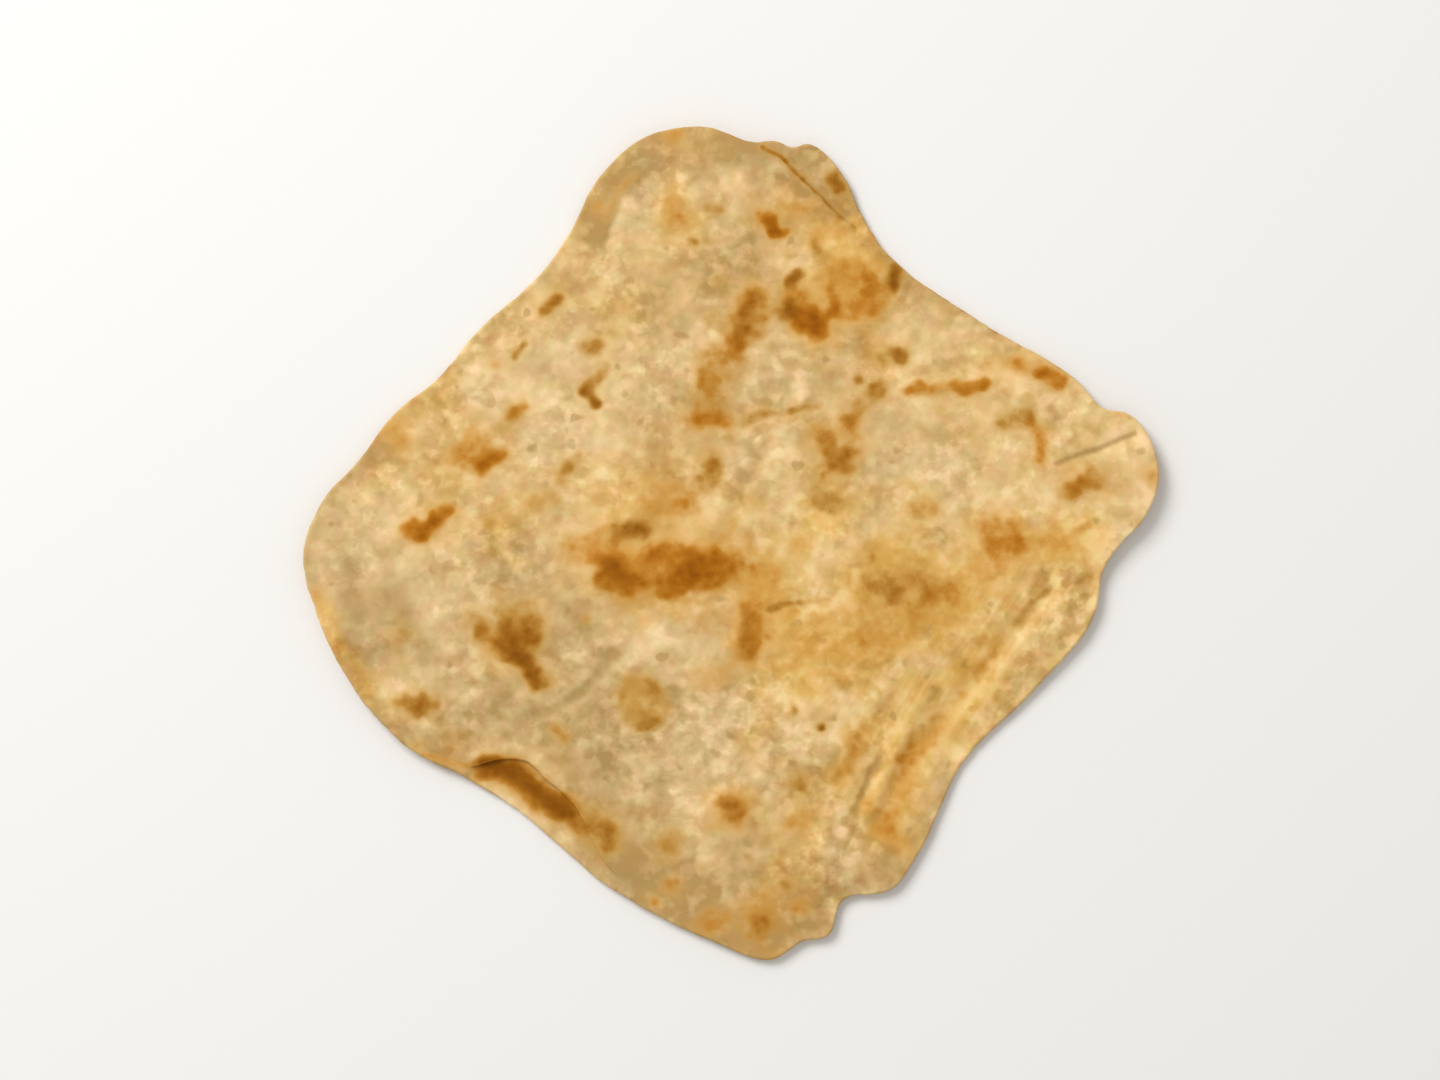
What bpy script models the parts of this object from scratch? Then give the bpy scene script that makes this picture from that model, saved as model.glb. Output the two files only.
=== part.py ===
# A square folded flatbread: dough rolled thin, folded over itself with fat
# between its leaves, pressed square and browned on a pan. It lies flat, its
# four tips a little lifted. The bread is one solid. Its left tip points to -X
# and its top tip to +Y, and its origin is under the middle of its outline.
# Lengths are in millimetres up to the point where the mesh is made.

import bmesh
import bpy
import numpy as np

MM = 0.001

# Driving sizes, mm
BODY_THICKNESS = 3.0    # the pressed leaves together
RIM_THICKNESS = 2.1     # near the edge, where the leaves are pressed shut
RIM_TAPER = 14.0        # how far in the edge thins
LEAF_STEP = 1.4         # the upper leaf's edge above the lower leaf
LOWER_SHARE = 0.6       # part of the step by which the lower leaf is thinner than the body
LEAST_SETBACK = 5.0     # setback where the two leaves end together
FULL_SETBACK = 8.5      # setback from which the step has its full height
SHOULDER = 0.9          # first ring in from the rounded edge
SHOULDER_END = 2.2      # second ring: the edge is fully rounded
FOOT_GAP = 1.6          # from the upper leaf's edge out to the foot of its step
FLAT_RADIUS = 78.0      # the underside is flat inside this radius
LIFT_RADIUS = 142.0     # the lift of the tips and edges is full here
PUFF_HEIGHT = 0.28      # broad swells between the leaves
PUFF_WAVES = 9          # plane waves that make up the swells
PUFF_SEED = 5
PUFF_LENGTHS = (26.0, 62.0)  # shortest and longest wave
EDGE_FADE = 4.0         # relief fades out over this distance from the edge
EDGE_TOP = (0.66, 0.93)     # upper face at the rim and shoulder, as a share of the thickness
EDGE_BOTTOM = (0.30, 0.07)  # lower face there
BELL = 0.7              # how fast a stroke's bell curve falls at its half width

# Mesh density
GRID = 52               # squares along each side of the sheet
RINGS = 5               # rings from the rim in to the upper leaf's edge
STEPS_PER_SPAN = 24     # fine steps between two rim points
SE_CROWDING = 1.3       # above 1, grid rows lie closer on the lower right side
EVENING_PASSES = 8      # passes that even out the squares next to the four tips

# Edge of the bread from above, clockwise from the left tip: x, y and, where the
# lower leaf sticks out, how far in from the edge the upper leaf ends.
LEFT_TO_TOP = [
    (-138.8, -5.2), (-137.0, 5.0), (-131.5, 15.5),
    (-122.5, 25.5), (-108.2, 43.6), (-95.2, 54.0),
    (-84.0, 67.8), (-62.0, 88.0), (-52.3, 101.4),
    (-45.0, 116.0), (-28.0, 132.0),
]
TOP_TO_RIGHT = [
    (-6.5, 135.0), (7.8, 130.3), (14.3, 130.9, 5.8),
    (19.8, 129.0, 7.6), (24.6, 129.8, 12.0), (37.1, 118.8, 12.4),
    (41.9, 108.5, 6.6), (48.0, 98.2), (80.9, 72.6),
    (113.0, 52.5), (121.5, 43.8), (128.0, 42.6),
]
RIGHT_TO_BOTTOM = [
    (138.8, 22.4), (133.6, 7.5), (126.1, -0.7),
    (121.2, -8.5), (118.4, -22.5), (98.8, -47.5),
    (75.6, -71.4), (60.8, -101.0), (53.0, -112.0),
    (36.0, -116.6), (31.4, -127.8), (23.7, -129.5),
]
BOTTOM_TO_LEFT = [
    (13.5, -135.2), (-6.2, -129.2), (-28.4, -118.6),
    (-42.6, -109.8, 7.0), (-56.6, -97.6, 12.6), (-70.4, -86.0, 13.4),
    (-87.6, -75.6, 7.6), (-103.1, -67.6, 5.4), (-122.2, -47.5),
    (-134.6, -22.5),
]

# Lift of the edge at compass angles (degrees from +X, anticlockwise), mm
EDGE_LIFT = [
    (-168, 4.2), (-140, 3.4), (-115, 1.8), (-84, 1.6), (-60, 2.6), (-30, 3.2),
    (9, 5.2), (30, 2.6), (45, 1.4), (65, 1.8), (93, 5.0), (115, 2.2),
    (137, 1.5), (160, 2.4), (182, 4.6),
]

# Ridges, creases and grooves: height, half width, then points along them
STROKES = [
    (0.75, 2.4, [(28.3, -115.7), (30.9, -91.7), (37.1, -80.0), (45.2, -63.7)]),
    (-0.90, 1.6, [(40.0, -88.1), (43.2, -82.2), (46.2, -74.1)]),
    (0.85, 2.2, [(41.6, -89.0), (47.5, -78.2), (49.1, -68.3), (62.4, -48.4)]),
    (-0.95, 2.8, [(48.3, -90.7), (59.8, -66.6), (79.0, -44.2), (103.0, -15.9)]),
    (-0.55, 7.5, [(56.6, -96.2), (79.3, -63.7), (106.9, -32.8), (116.7, -18.2)]),
    (-0.90, 3.2, [(-81.9, -72.8), (-76.4, -73.3), (-62.0, -82.0), (-53.0, -91.0)]),
    (-0.55, 1.4, [(-98.8, -67.9), (-84.8, -72.5)]),
    (-0.50, 1.3, [(-122.9, -47.8), (-106.0, -62.4), (-101.7, -66.0)]),
    (-0.65, 1.4, [(105.3, 25.7), (118.3, 29.9), (131.3, 35.4)]),
    (-0.40, 1.6, [(-68.6, -56.6), (-47.5, -48.1), (-39.3, -36.1)]),
    (-0.35, 1.6, [(4.6, 38.7), (22.4, 42.9), (27.3, 45.2)]),
    (-0.35, 1.6, [(11.1, -22.1), (22.4, -18.2), (30.6, -17.6)]),
]

# Blisters, where the dough touched the pan: height, half width, points along
BLISTERS = [
    (0.90, 5.5, [(-42.0, -9.0), (-4.0, -8.0)]),
    (0.80, 6.5, [(-72.0, -26.0), (-66.0, -31.0)]),
    (0.60, 6.5, [(-28.6, -51.4)]),
    (0.55, 4.5, [(6.2, -23.0), (6.2, -30.0)]),
    (0.60, 4.5, [(-0.3, -84.8)]),
    (0.60, 5.0, [(-80.0, 32.0), (-75.0, 27.0)]),
    (0.60, 3.0, [(-106.0, 3.5), (-97.0, 7.5)]),
    (0.50, 3.5, [(-103.5, -53.0), (-99.5, -53.6)]),
    (0.60, 3.6, [(12.7, 104.7)]),
    (0.80, 7.5, [(20.0, 76.0), (29.0, 69.0)]),
    (0.70, 6.0, [(43.0, 86.0), (46.0, 77.0)]),
    (0.55, 4.0, [(4.0, 76.0), (-3.0, 48.0)]),
    (0.55, 6.0, [(34.8, 33.0), (38.0, 24.0)]),
    (0.60, 6.5, [(85.0, 5.0), (92.0, 3.0)]),
    (0.55, 4.4, [(110.0, 17.5), (115.5, 20.5)]),
    (0.50, 3.2, [(96.0, 57.0), (105.0, 52.5)]),
    (0.45, 2.4, [(60.0, 50.2), (84.0, 51.6)]),
    (0.60, 7.5, [(47.0, -11.0), (64.0, -14.0)]),
    (0.55, 5.5, [(11.1, -122.0)]),
    (0.50, 4.5, [(-17.9, 106.9)]),
]

CRUST_COLOUR = (0.645, 0.397, 0.147, 1.0)
CRUST_ROUGHNESS = 0.62


def smoothstep(low, high, value):
    """0 below low, 1 above high, and a smooth rise between them."""
    x = np.clip((value - low) / (high - low), 0.0, 1.0)
    return x * x * (3.0 - 2.0 * x)


def smooth_loop(points, steps):
    """Points on a smooth closed curve through the given ones, steps to a span."""
    here = np.array(points, float)
    after = np.roll(here, -1, axis=0)
    gap = np.linalg.norm((after - here)[:, :2], axis=1)[:, None]
    gap_before = np.roll(gap, 1, axis=0)
    slope_after = (after - here) / gap
    slope = (slope_after * gap_before + np.roll(slope_after, 1, axis=0) * gap) / (gap + gap_before)
    t = np.linspace(0.0, 1.0, steps, endpoint=False)[None, :, None]
    start, end = here[:, None, :], after[:, None, :]
    leave = (gap * slope)[:, None, :]
    arrive = (gap * np.roll(slope, -1, axis=0))[:, None, :]
    curve = (
        (2 * t**3 - 3 * t**2 + 1) * start + (t**3 - 2 * t**2 + t) * leave
        + (-2 * t**3 + 3 * t**2) * end + (t**3 - t**2) * arrive
    )
    return curve.reshape(-1, here.shape[1])


def make_rim():
    """The fine edge curve with its setback, centred on the origin, and the side each point starts."""
    sides = (LEFT_TO_TOP, TOP_TO_RIGHT, RIGHT_TO_BOTTOM, BOTTOM_TO_LEFT)
    points = [(*point, LEAST_SETBACK)[:3] for side in sides for point in side]
    rim = smooth_loop(points, STEPS_PER_SPAN)
    middle = (rim[:, :2].min(axis=0) + rim[:, :2].max(axis=0)) / 2
    starts = np.cumsum([0] + [len(side) * STEPS_PER_SPAN for side in sides])
    return rim, middle, starts


RIM, MIDDLE, SIDE_STARTS = make_rim()


def rim_at(t):
    """x, y and setback of the edge at t, which runs from 0 to 4, one unit for each side."""
    closed = np.vstack([RIM, RIM[:1]])
    result = np.zeros((len(t), 3))
    for side in range(4):
        part = closed[SIDE_STARTS[side]:SIDE_STARTS[side + 1] + 1]
        length = np.concatenate([[0.0], np.cumsum(np.linalg.norm(np.diff(part[:, :2], axis=0), axis=1))])
        mine = (t >= side) & (t <= side + 1)
        along = (t[mine] - side) * length[-1]
        result[mine] = np.stack([np.interp(along, length, part[:, k]) for k in range(3)], axis=1)
    return result


def ring_at(t, ring):
    """Points of one ring: ring 0 is the rim, and the last is the upper leaf's edge."""
    edge = rim_at(t)
    setback = np.maximum(edge[:, 2], LEAST_SETBACK)
    foot = setback - FOOT_GAP
    inset = np.select(
        [ring == 0, ring == 1, ring == 2, ring == 3, ring == 4],
        [0.0, SHOULDER, SHOULDER_END, (SHOULDER_END + foot) / 2, foot],
        setback,
    )
    reach = np.linalg.norm(edge[:, :2], axis=1)
    return edge[:, :2] * (1.0 - inset / reach)[:, None], setback


def crowd(u):
    """Moves grid rows towards u = 1, the lower right side, where the ridges are close."""
    return 1.0 - (1.0 - u) ** SE_CROWDING


def boundary_parameter(a, b, m):
    """t on the rim for a point a, b of the border of an m by m square, clockwise from its corner."""
    return np.select(
        [a == 0, b == m, a == m],
        [b / m, 1.0 + crowd(a / m), 3.0 - b / m],
        4.0 - crowd(a / m),
    )


def even_out(grid):
    """Moves each inner point of a grid of points to the mean of its four neighbours, a few times."""
    for _ in range(EVENING_PASSES):
        grid[1:-1, 1:-1] = (grid[:-2, 1:-1] + grid[2:, 1:-1] + grid[1:-1, :-2] + grid[1:-1, 2:]) / 4
    return grid


def inner_sheet():
    """Grid of points inside the upper leaf's edge: a Coons patch between its four sides."""
    size = GRID - 2 * RINGS
    v = np.linspace(0.0, 1.0, size + 1)
    u = crowd(v)
    last = np.full(size + 1, RINGS)
    left, right = ring_at(v, last)[0][None, :], ring_at(3 - v, last)[0][None, :]
    top, bottom = ring_at(1 + u, last)[0][:, None], ring_at(4 - u, last)[0][:, None]
    u, v = u[:, None, None], v[None, :, None]
    corners = (
        (1 - u) * ((1 - v) * left[:, :1] + v * left[:, -1:])
        + u * ((1 - v) * right[:, :1] + v * right[:, -1:])
    )
    return even_out((1 - u) * left + u * right + (1 - v) * bottom + v * top - corners)


def place_vertices(i, j):
    """Sheet position, ring number and setback of each grid vertex."""
    ring = np.minimum(np.minimum(i, j), np.minimum(GRID - i, GRID - j))
    outer = ring <= RINGS
    size = GRID - 2 * ring
    t = boundary_parameter(i - ring, j - ring, np.maximum(size, 1))
    place = np.zeros((len(i), 2))
    setback = np.full(len(i), LEAST_SETBACK)
    place[outer], setback[outer] = ring_at(t[outer], ring[outer])

    inner = ~outer
    place[inner] = inner_sheet()[i[inner] - RINGS, j[inner] - RINGS]
    return place, ring, setback


def stroke(place, points, half_width):
    """1 on a line through the points, falling off to 0 over its half width in a bell curve."""
    path = np.array(points, float)
    nearest = np.linalg.norm(place - path[0], axis=1)
    for start, end in zip(path[:-1], path[1:]):
        span = end - start
        along = np.clip((place - start) @ span / (span @ span), 0.0, 1.0)
        nearest = np.minimum(nearest, np.linalg.norm(place - start - along[:, None] * span, axis=1))
    return np.exp(-BELL * (nearest / half_width) ** 2)


def swells(place):
    """Broad uneven swells: a sum of plane waves of random direction, length and phase."""
    draw = np.random.default_rng(PUFF_SEED)
    height = np.zeros(len(place))
    for _ in range(PUFF_WAVES):
        heading = draw.uniform(0.0, 2.0 * np.pi)
        length = draw.uniform(*PUFF_LENGTHS)
        phase = draw.uniform(0.0, 2.0 * np.pi)
        along = place @ np.array([np.cos(heading), np.sin(heading)])
        height += np.sin(2.0 * np.pi * along / length + phase)
    return PUFF_HEIGHT * height / np.sqrt(PUFF_WAVES / 2.0)


def lie(place):
    """Height of the underside above the table: flat in the middle, lifted towards the edge."""
    angle = np.degrees(np.arctan2(place[:, 1], place[:, 0]))
    table = np.array(EDGE_LIFT, float)
    lift = np.interp(angle, table[:, 0], table[:, 1], period=360.0)
    return lift * smoothstep(FLAT_RADIUS, LIFT_RADIUS, np.linalg.norm(place, axis=1))


def edge_distance(place):
    """Distance of each point from the rim."""
    gaps = np.linalg.norm(place[:, None, :] - RIM[None, :, :2], axis=2)
    return gaps.min(axis=1)


def body_thickness(place, ring, setback):
    """Thickness of the bread: body, rim taper, swells, strokes, blisters and the leaf's step."""
    from_edge = edge_distance(place)
    inside = smoothstep(0.0, EDGE_FADE, from_edge)
    thickness = RIM_THICKNESS + (BODY_THICKNESS - RIM_THICKNESS) * smoothstep(0.0, RIM_TAPER, from_edge)
    relief = swells(place)
    for height, half_width, points in STROKES + BLISTERS:
        relief = relief + height * stroke(place, points, half_width)
    step = LEAF_STEP * smoothstep(LEAST_SETBACK, FULL_SETBACK, setback)
    share = np.where(ring < RINGS, -LOWER_SHARE, np.where(ring == RINGS, 1.0 - LOWER_SHARE, 0.0))
    return thickness + relief * inside + step * share


def add_heights(place, ring, setback):
    """Heights of the upper and lower face, rounded towards each other at the edge."""
    thickness = body_thickness(place, ring, setback)
    floor = lie(place)
    rounded_top = np.select([ring == 0, ring == 1], EDGE_TOP, 1.0)
    rounded_bottom = np.select([ring == 0, ring == 1], EDGE_BOTTOM, 0.0)
    return floor + thickness * rounded_top, floor + thickness * rounded_bottom


def crust_material():
    material = bpy.data.materials.new("browned_dough")
    material.use_nodes = True
    shader = material.node_tree.nodes["Principled BSDF"]
    shader.inputs["Base Color"].default_value = CRUST_COLOUR
    shader.inputs["Roughness"].default_value = CRUST_ROUGHNESS
    shader.inputs["Metallic"].default_value = 0.0
    return material


def make_bread(collection):
    """A square grid shaped to the bread's upper face, and its copy below shaped to the underside."""
    bm = bmesh.new()
    bmesh.ops.create_grid(bm, x_segments=GRID, y_segments=GRID, size=1.0)
    lower = list(bm.verts)
    at = np.array([vert.co[:2] for vert in lower])
    i, j = np.rint((at + 1.0) / 2.0 * GRID).astype(int).T
    place, ring, setback = place_vertices(i, j)
    above, below = add_heights(place, ring, setback)

    copied = bmesh.ops.extrude_face_region(bm, geom=bm.faces[:], use_keep_orig=True)
    upper = [item for item in copied["geom"] if isinstance(item, bmesh.types.BMVert)]
    twin = {vert.co[:2]: k for k, vert in enumerate(lower)}
    order = [twin[vert.co[:2]] for vert in upper]
    place = (place - MIDDLE) * MM
    for vert, k in zip(upper, order):
        vert.co = (*place[k], above[k] * MM)
    for k, vert in enumerate(lower):
        vert.co = (*place[k], below[k] * MM)

    bmesh.ops.recalc_face_normals(bm, faces=bm.faces[:])
    bmesh.ops.triangulate(bm, faces=bm.faces[:], quad_method="SHORT_EDGE")
    mesh = bpy.data.meshes.new("flatbread")
    bm.to_mesh(mesh)
    bm.free()
    mesh.materials.append(crust_material())
    mesh.shade_smooth()
    bread = bpy.data.objects.new("flatbread", mesh)
    collection.objects.link(bread)


for old in list(bpy.data.objects):
    bpy.data.objects.remove(old)

parts = bpy.data.collections.new("folded_flatbread")
bpy.context.scene.collection.children.link(parts)
make_bread(parts)
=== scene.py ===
# A square folded flatbread seen from straight above on a pale floor.
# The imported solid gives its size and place. This script makes the surface that shows:
# the two leaves, the ridges, the layered rim and the browned crust.
# Lengths are in millimetres until the mesh is made, which is in metres.

import math

import bpy
import numpy as np
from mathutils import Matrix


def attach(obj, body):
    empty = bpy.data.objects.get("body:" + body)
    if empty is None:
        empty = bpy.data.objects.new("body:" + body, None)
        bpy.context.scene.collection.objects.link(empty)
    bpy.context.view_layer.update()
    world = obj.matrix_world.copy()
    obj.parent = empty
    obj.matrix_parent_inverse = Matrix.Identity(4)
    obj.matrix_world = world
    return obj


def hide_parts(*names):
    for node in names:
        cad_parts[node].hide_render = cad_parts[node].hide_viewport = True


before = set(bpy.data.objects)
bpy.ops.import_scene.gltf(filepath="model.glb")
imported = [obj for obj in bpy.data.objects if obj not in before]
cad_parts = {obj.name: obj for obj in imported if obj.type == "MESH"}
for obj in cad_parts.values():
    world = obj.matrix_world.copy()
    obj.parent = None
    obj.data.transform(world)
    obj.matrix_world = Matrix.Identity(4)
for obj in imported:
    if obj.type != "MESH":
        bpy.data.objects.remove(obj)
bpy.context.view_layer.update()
print("frame loaded")

mm = 0.001

# Marks on the crust are placed by the photograph's pixels and turned into millimetres here
photo = dict(
    mmPerPixel=0.325,
    middle=(731, 544),  # pixel over the bread's middle
    size=(1440, 1080),
)


def pairs(numbers):
    # x, y, x, y ... as rows of x and y
    return np.array(numbers, float).reshape(-1, 2)


def fromPhoto(numbers):
    # Millimetres from the bread's middle: pixels right of and above the middle, times the scale
    return (pairs(numbers) - photo["middle"]) * [photo["mmPerPixel"], -photo["mmPerPixel"]]


def circle(x, y, radius, points=14):
    # Pixels round a middle, closed on itself, as x, y, x, y ...
    turns = [2.0 * math.pi * k / points for k in range(points + 1)]
    spots = [(x + radius * math.cos(turn), y + radius * math.sin(turn)) for turn in turns]
    return np.ravel(spots).tolist()


bread = dict(
    bodyThickness=3.0,  # the pressed leaves together
    rimThickness=2.1,  # near the edge
    rimTaper=14.0,  # how far in the edge thins
    leafStep=1.4,  # upper leaf's edge above the lower leaf
    lowerShare=0.6,  # part of the step by which the lower leaf is thinner than the body
    leastSetback=5.0,  # setback where both leaves end together
    fullSetback=8.5,  # setback from which the step is full
    flatRadius=78.0,  # underside is flat inside this radius
    liftRadius=142.0,  # lift of the tips is full here
    edgeFade=4.0,  # relief fades out towards the edge over this distance
    bell=0.7,  # how fast a stroke falls at its half width
)

# Broad swells between the leaves: plane waves of random heading, length and phase
swell = dict(height=0.28, waves=9, seed=5, lengths=(26.0, 62.0))

# Finer relief of the pressed dough: height, size and seed of each layer of lumps
lumps = dict(layers=[(0.13, 9.0, 21), (0.07, 4.0, 22), (0.035, 2.0, 23)])

# Small bubbles scattered over the face, some of them pressed in
bubbles = dict(
    count=520,
    seed=31,
    halfWidth=(0.8, 2.1),
    height=(0.05, 0.2),
    pressed=-0.6,  # height of a pressed one against a raised one
    reach=140.0,  # half side of the square they are scattered over
    end=3.0,  # half widths from the middle to where one ends
)

grid = dict(
    top=240,  # squares along each side of the upper face
    evening=900,  # passes that even out its squares
    underEvening=240,  # and those of the underside
    stepsPerSpan=24,  # fine steps between two rim points
    latticeSide=256,  # random values along each side of the noise lattice
    batch=4000,  # points whose distances are worked out together
    rimStep=3,  # every third point of the rim is near enough for distances
)

# Edge from above, clockwise from the left tip: x, y and, where the lower leaf sticks out,
# how far in from the edge the upper leaf ends
rimSides = [
    [
        (-138.8, -5.2), (-137.0, 5.0), (-131.5, 15.5), (-122.5, 25.5), (-108.2, 43.6),
        (-95.2, 54.0), (-84.0, 67.8), (-62.0, 88.0), (-52.3, 101.4), (-45.0, 116.0),
        (-28.0, 132.0),
    ],
    [
        (-6.5, 135.0), (7.8, 130.3), (14.3, 130.9, 5.8), (19.8, 129.0, 7.6), (24.6, 129.8, 12.0),
        (37.1, 118.8, 12.4), (41.9, 108.5, 6.6), (48.0, 98.2), (80.9, 72.6), (113.0, 52.5),
        (121.5, 43.8), (128.0, 42.6),
    ],
    [
        (138.8, 22.4), (133.6, 7.5), (126.1, -0.7), (121.2, -8.5), (118.4, -22.5), (98.8, -47.5),
        (75.6, -71.4), (60.8, -101.0), (53.0, -112.0), (36.0, -116.6), (31.4, -127.8),
        (23.7, -129.5),
    ],
    [
        (13.5, -135.2), (-6.2, -129.2), (-28.4, -118.6), (-42.6, -109.8, 7.0),
        (-56.6, -97.6, 13.6), (-70.4, -86.0, 15.0), (-80.3, -79.7, 15.2), (-84.7, -77.2, 11.2),
        (-87.6, -75.6, 5.6), (-103.1, -67.6), (-122.2, -47.5), (-134.6, -22.5),
    ],
]

# Lift of the edge at compass angles: degrees from +X anticlockwise, mm
edgeLift = [
    (-168, 4.2), (-140, 3.4), (-115, 1.8), (-84, 1.6), (-60, 2.6), (-30, 3.2),
    (9, 5.2), (30, 2.6), (45, 1.4), (65, 1.8), (93, 5.0), (115, 2.2),
    (137, 1.5), (160, 2.4), (182, 4.6),
]

# Ridges, creases and grooves: height, half width, then x and y of each point along them
ridges = [
    (0.75, 2.4, 28.3, -115.7, 30.9, -91.7, 37.1, -80.0, 45.2, -63.7),
    (-0.90, 1.6, 40.0, -88.1, 43.2, -82.2, 46.2, -74.1),
    (0.85, 2.2, 45.5, -86.0, 48.8, -77.2, 52.0, -69.2, 60.0, -53.0, 66.0, -46.8),
    (-0.95, 2.8, 48.3, -90.7, 59.8, -66.6, 79.0, -44.2, 103.0, -15.9),
    (-0.55, 7.5, 56.6, -96.2, 79.3, -63.7, 106.9, -32.8, 116.7, -18.2),
    (-0.90, 3.2, -81.9, -72.8, -76.4, -73.3, -62.0, -82.0, -53.0, -91.0),
    (-0.55, 1.4, -98.8, -67.9, -84.8, -72.5),
    (-0.50, 1.3, -122.9, -47.8, -106.0, -62.4, -101.7, -66.0),
    (-0.65, 1.4, 105.3, 25.7, 118.3, 29.9, 131.3, 35.4),
    (-0.45, 1.5, -64.6, -55.2, -53.6, -51.6, -47.4, -47.1, -42.2, -40.9, -39.3, -35.1),
    (-0.35, 1.6, 4.6, 38.7, 22.4, 42.9, 27.3, 45.2),
    (-0.35, 1.6, 11.1, -22.1, 22.4, -18.2, 30.6, -17.6),
]

# Blisters, where the dough touched the pan, in the same form
blisters = [
    (0.90, 5.5, -42.0, -9.0, -4.0, -8.0), (0.80, 6.5, -72.0, -26.0, -66.0, -31.0),
    (0.60, 6.5, -28.6, -51.4), (0.55, 4.5, 6.2, -23.0, 6.2, -30.0), (0.60, 4.5, -0.3, -84.8),
    (0.60, 5.0, -80.0, 32.0, -75.0, 27.0), (0.60, 3.0, -106.0, 3.5, -97.0, 7.5),
    (0.50, 3.5, -103.5, -53.0, -99.5, -53.6), (0.60, 3.6, 12.7, 104.7),
    (0.80, 7.5, 20.0, 76.0, 29.0, 69.0), (0.70, 6.0, 43.0, 86.0, 46.0, 77.0),
    (0.55, 4.0, 4.0, 76.0, -3.0, 48.0), (0.55, 6.0, 34.8, 33.0, 38.0, 24.0),
    (0.60, 6.5, 85.0, 5.0, 92.0, 3.0), (0.55, 4.4, 110.0, 17.5, 115.5, 20.5),
    (0.50, 3.2, 96.0, 57.0, 105.0, 52.5), (0.45, 2.4, 60.0, 50.2, 84.0, 51.6),
    (0.60, 7.5, 47.0, -11.0, 64.0, -14.0), (0.55, 5.5, 11.1, -122.0),
    (0.50, 4.5, -17.9, 106.9),
]


def smoothstep(low, high, value):
    # 0 at low, 1 at high, and 3x^2 - 2x^3 between them
    x = np.clip((value - low) / (high - low), 0.0, 1.0)
    return x * x * (3.0 - 2.0 * x)


def smoothLoop(points, steps):
    # Cubic Hermite curve through the points, its slope there the mean of both spans
    here = np.array(points, float)
    after = np.roll(here, -1, axis=0)
    gap = np.linalg.norm((after - here)[:, :2], axis=1)[:, None]
    gapBefore = np.roll(gap, 1, axis=0)
    slopeAfter = (after - here) / gap
    slope = (slopeAfter * gapBefore + np.roll(slopeAfter, 1, axis=0) * gap) / (gap + gapBefore)
    t = np.linspace(0.0, 1.0, steps, endpoint=False)[None, :, None]
    leave = (gap * slope)[:, None, :]
    arrive = (gap * np.roll(slope, -1, axis=0))[:, None, :]
    curve = (
        (2 * t**3 - 3 * t**2 + 1) * here[:, None, :] + (t**3 - 2 * t**2 + t) * leave
        + (-2 * t**3 + 3 * t**2) * after[:, None, :] + (t**3 - t**2) * arrive
    )
    return curve.reshape(-1, here.shape[1])


def makeRim():
    # The whole edge curve as x, y and setback, centred on its own box
    least = bread["leastSetback"]
    points = [(*point, least)[:3] for side in rimSides for point in side]
    curve = smoothLoop(points, grid["stepsPerSpan"])
    curve[:, :2] -= (curve[:, :2].min(axis=0) + curve[:, :2].max(axis=0)) / 2
    curve[:, 2] = np.maximum(curve[:, 2], least)
    return curve


def rimAt(count):
    # count points along each side of the rim, evenly spaced by arc length
    closed = np.vstack([rim, rim[:1]])
    ends = np.cumsum([0] + [len(side) * grid["stepsPerSpan"] for side in rimSides])
    sides = []
    for first, last in zip(ends[:-1], ends[1:]):
        part = closed[first:last + 1]
        steps = np.linalg.norm(np.diff(part[:, :2], axis=0), axis=1)
        length = np.concatenate([[0.0], np.cumsum(steps)])
        along = np.linspace(0.0, length[-1], count, endpoint=False)
        sides.append(np.stack([np.interp(along, length, part[:, k]) for k in range(3)], axis=1))
    return np.concatenate(sides)


def lattice(place, size, seed):
    # Random values on a square lattice, joined by smoothstep weights: -1 to 1, cells of that size
    side = grid["latticeSide"]
    values = np.random.default_rng(seed).uniform(-1.0, 1.0, (side, side))
    cell = place / size
    corner = np.floor(cell).astype(int)
    i, j = corner.T % side
    nextI, nextJ = (i + 1) % side, (j + 1) % side
    across, up = smoothstep(0.0, 1.0, cell - corner).T
    low = values[i, j] * (1 - across) + values[nextI, j] * across
    high = values[i, nextJ] * (1 - across) + values[nextI, nextJ] * across
    return low * (1 - up) + high * up


def unevenness(place, layers):
    # Sum of lattices that run from 0 to their depth, given as depth, size and seed
    return sum(depth * (0.5 + 0.5 * lattice(place, size, seed)) for depth, size, seed in layers)


def distanceTo(place, path):
    # Distance of each place from the line through the points of the path
    nearest = np.linalg.norm(place - path[0], axis=1)
    for start, end in zip(path[:-1], path[1:]):
        span = end - start
        along = np.clip((place - start) @ span / (span @ span), 0.0, 1.0)
        gap = np.linalg.norm(place - start - along[:, None] * span, axis=1)
        nearest = np.minimum(nearest, gap)
    return nearest


def swells(place):
    # Sum of sines of the distance along each wave's heading
    draw = np.random.default_rng(swell["seed"])
    height = np.zeros(len(place))
    for _ in range(swell["waves"]):
        heading = draw.uniform(0.0, 2.0 * np.pi)
        length = draw.uniform(*swell["lengths"])
        phase = draw.uniform(0.0, 2.0 * np.pi)
        along = place @ np.array([np.cos(heading), np.sin(heading)])
        height += np.sin(2.0 * np.pi * along / length + phase)
    return swell["height"] * height / np.sqrt(swell["waves"] / 2.0)


def lie(place):
    # Height of the underside: the angle's lift times smoothstep of the distance from the middle
    angle = np.degrees(np.arctan2(place[:, 1], place[:, 0]))
    table = np.array(edgeLift, float)
    lift = np.interp(angle, table[:, 0], table[:, 1], period=360.0)
    out = np.linalg.norm(place, axis=1)
    return lift * smoothstep(bread["flatRadius"], bread["liftRadius"], out)


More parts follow.
